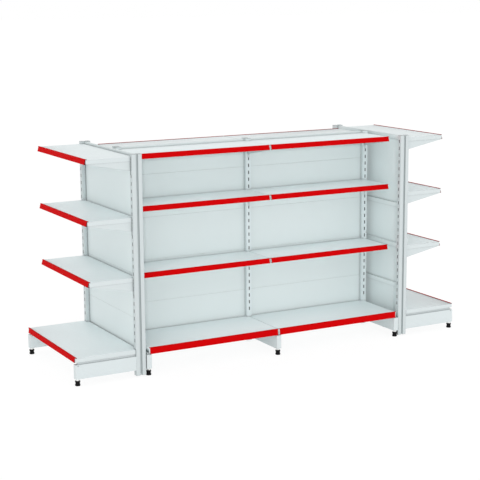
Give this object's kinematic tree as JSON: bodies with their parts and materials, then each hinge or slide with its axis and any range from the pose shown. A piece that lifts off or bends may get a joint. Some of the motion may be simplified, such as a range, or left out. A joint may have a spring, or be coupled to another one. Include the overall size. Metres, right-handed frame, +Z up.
{
  "type": "gondola shelving",
  "caption": "Double-sided steel gondola shelving run with single-sided end bays, slotted uprights, lift-off shelves on hooked brackets, red price strips and levelling feet.",
  "frame": {"origin": "on the floor under the middle of the run, at the bottom centre of the bounding box", "axes": "+X along the run, -Y towards the front, +Z up"},
  "size_m": [3.05, 0.936, 1.49],
  "materials": {
    "upright_paint": "cool white powder coat, satin",
    "panel_paint": "cool white powder coat, satin",
    "deck_paint": "cool white powder coat, satin",
    "bracket_paint": "cool white powder coat, satin",
    "price_strip": "red extruded plastic, semi-gloss",
    "foot_plastic": "black moulded plastic",
    "cap_plastic": "grey moulded plastic",
    "zinc": "zinc plated"
  },
  "bodies": {
    "frame": {"main_uprights": "upright_paint", "end_uprights": "upright_paint", "main_base_legs": "upright_paint", "end_base_legs": "upright_paint", "upright_caps": "cap_plastic", "main_panels": "panel_paint", "end_panels": "panel_paint", "bottom_rails": "panel_paint", "top_caps": "panel_paint", "base_decks": "deck_paint", "base_price_strips": "price_strip", "main_shelf_brackets": "bracket_paint", "end_shelf_brackets": "bracket_paint", "corner_tie_bolts": "zinc"},
    "shelf_front_left_lower": {"deck_front_left_lower": "deck_paint", "strip_front_left_lower": "price_strip"},
    "shelf_front_left_middle": {"deck_front_left_middle": "deck_paint", "strip_front_left_middle": "price_strip"},
    "shelf_front_left_top": {"deck_front_left_top": "deck_paint", "strip_front_left_top": "price_strip"},
    "shelf_front_right_lower": {"deck_front_right_lower": "deck_paint", "strip_front_right_lower": "price_strip"},
    "shelf_front_right_middle": {"deck_front_right_middle": "deck_paint", "strip_front_right_middle": "price_strip"},
    "shelf_front_right_top": {"deck_front_right_top": "deck_paint", "strip_front_right_top": "price_strip"},
    "shelf_rear_left_lower": {"deck_rear_left_lower": "deck_paint", "strip_rear_left_lower": "price_strip"},
    "shelf_rear_left_middle": {"deck_rear_left_middle": "deck_paint", "strip_rear_left_middle": "price_strip"},
    "shelf_rear_left_top": {"deck_rear_left_top": "deck_paint", "strip_rear_left_top": "price_strip"},
    "shelf_rear_right_lower": {"deck_rear_right_lower": "deck_paint", "strip_rear_right_lower": "price_strip"},
    "shelf_rear_right_middle": {"deck_rear_right_middle": "deck_paint", "strip_rear_right_middle": "price_strip"},
    "shelf_rear_right_top": {"deck_rear_right_top": "deck_paint", "strip_rear_right_top": "price_strip"},
    "shelf_left_end_lower": {"deck_left_end_lower": "deck_paint", "strip_left_end_lower": "price_strip"},
    "shelf_left_end_middle": {"deck_left_end_middle": "deck_paint", "strip_left_end_middle": "price_strip"},
    "shelf_left_end_top": {"deck_left_end_top": "deck_paint", "strip_left_end_top": "price_strip"},
    "shelf_right_end_lower": {"deck_right_end_lower": "deck_paint", "strip_right_end_lower": "price_strip"},
    "shelf_right_end_middle": {"deck_right_end_middle": "deck_paint", "strip_right_end_middle": "price_strip"},
    "shelf_right_end_top": {"deck_right_end_top": "deck_paint", "strip_right_end_top": "price_strip"},
    "levelling_foot_front_left": {"foot_front_left": "foot_plastic"},
    "levelling_foot_front_middle": {"foot_front_middle": "foot_plastic"},
    "levelling_foot_front_right": {"foot_front_right": "foot_plastic"},
    "levelling_foot_rear_left": {"foot_rear_left": "foot_plastic"},
    "levelling_foot_rear_middle": {"foot_rear_middle": "foot_plastic"},
    "levelling_foot_rear_right": {"foot_rear_right": "foot_plastic"},
    "levelling_foot_left_end_front": {"foot_left_end_front": "foot_plastic"},
    "levelling_foot_left_end_rear": {"foot_left_end_rear": "foot_plastic"},
    "levelling_foot_right_end_front": {"foot_right_end_front": "foot_plastic"},
    "levelling_foot_right_end_rear": {"foot_right_end_rear": "foot_plastic"}
  },
  "joints": [
    {"name": "lift_front_left_lower", "type": "slide", "parent": "frame", "child": "shelf_front_left_lower", "axis": [0, 0, 1], "range_m": [0, 0.15]},
    {"name": "lift_front_left_middle", "type": "slide", "parent": "frame", "child": "shelf_front_left_middle", "axis": [0, 0, 1], "range_m": [0, 0.15]},
    {"name": "lift_front_left_top", "type": "slide", "parent": "frame", "child": "shelf_front_left_top", "axis": [0, 0, 1], "range_m": [0, 0.15]},
    {"name": "lift_front_right_lower", "type": "slide", "parent": "frame", "child": "shelf_front_right_lower", "axis": [0, 0, 1], "range_m": [0, 0.15]},
    {"name": "lift_front_right_middle", "type": "slide", "parent": "frame", "child": "shelf_front_right_middle", "axis": [0, 0, 1], "range_m": [0, 0.15]},
    {"name": "lift_front_right_top", "type": "slide", "parent": "frame", "child": "shelf_front_right_top", "axis": [0, 0, 1], "range_m": [0, 0.15]},
    {"name": "lift_rear_left_lower", "type": "slide", "parent": "frame", "child": "shelf_rear_left_lower", "axis": [0, 0, 1], "range_m": [0, 0.15]},
    {"name": "lift_rear_left_middle", "type": "slide", "parent": "frame", "child": "shelf_rear_left_middle", "axis": [0, 0, 1], "range_m": [0, 0.15]},
    {"name": "lift_rear_left_top", "type": "slide", "parent": "frame", "child": "shelf_rear_left_top", "axis": [0, 0, 1], "range_m": [0, 0.15]},
    {"name": "lift_rear_right_lower", "type": "slide", "parent": "frame", "child": "shelf_rear_right_lower", "axis": [0, 0, 1], "range_m": [0, 0.15]},
    {"name": "lift_rear_right_middle", "type": "slide", "parent": "frame", "child": "shelf_rear_right_middle", "axis": [0, 0, 1], "range_m": [0, 0.15]},
    {"name": "lift_rear_right_top", "type": "slide", "parent": "frame", "child": "shelf_rear_right_top", "axis": [0, 0, 1], "range_m": [0, 0.15]},
    {"name": "lift_left_end_lower", "type": "slide", "parent": "frame", "child": "shelf_left_end_lower", "axis": [0, 0, 1], "range_m": [0, 0.15]},
    {"name": "lift_left_end_middle", "type": "slide", "parent": "frame", "child": "shelf_left_end_middle", "axis": [0, 0, 1], "range_m": [0, 0.15]},
    {"name": "lift_left_end_top", "type": "slide", "parent": "frame", "child": "shelf_left_end_top", "axis": [0, 0, 1], "range_m": [0, 0.15]},
    {"name": "lift_right_end_lower", "type": "slide", "parent": "frame", "child": "shelf_right_end_lower", "axis": [0, 0, 1], "range_m": [0, 0.15]},
    {"name": "lift_right_end_middle", "type": "slide", "parent": "frame", "child": "shelf_right_end_middle", "axis": [0, 0, 1], "range_m": [0, 0.15]},
    {"name": "lift_right_end_top", "type": "slide", "parent": "frame", "child": "shelf_right_end_top", "axis": [0, 0, 1], "range_m": [0, 0.15]},
    {"name": "screw_front_left", "type": "slide", "parent": "frame", "child": "levelling_foot_front_left", "axis": [0, 0, -1], "range_m": [0, 0.02]},
    {"name": "screw_front_middle", "type": "slide", "parent": "frame", "child": "levelling_foot_front_middle", "axis": [0, 0, -1], "range_m": [0, 0.02]},
    {"name": "screw_front_right", "type": "slide", "parent": "frame", "child": "levelling_foot_front_right", "axis": [0, 0, -1], "range_m": [0, 0.02]},
    {"name": "screw_rear_left", "type": "slide", "parent": "frame", "child": "levelling_foot_rear_left", "axis": [0, 0, -1], "range_m": [0, 0.02]},
    {"name": "screw_rear_middle", "type": "slide", "parent": "frame", "child": "levelling_foot_rear_middle", "axis": [0, 0, -1], "range_m": [0, 0.02]},
    {"name": "screw_rear_right", "type": "slide", "parent": "frame", "child": "levelling_foot_rear_right", "axis": [0, 0, -1], "range_m": [0, 0.02]},
    {"name": "screw_left_end_front", "type": "slide", "parent": "frame", "child": "levelling_foot_left_end_front", "axis": [0, 0, -1], "range_m": [0, 0.02]},
    {"name": "screw_left_end_rear", "type": "slide", "parent": "frame", "child": "levelling_foot_left_end_rear", "axis": [0, 0, -1], "range_m": [0, 0.02]},
    {"name": "screw_right_end_front", "type": "slide", "parent": "frame", "child": "levelling_foot_right_end_front", "axis": [0, 0, -1], "range_m": [0, 0.02]},
    {"name": "screw_right_end_rear", "type": "slide", "parent": "frame", "child": "levelling_foot_right_end_rear", "axis": [0, 0, -1], "range_m": [0, 0.02]}
  ]
}
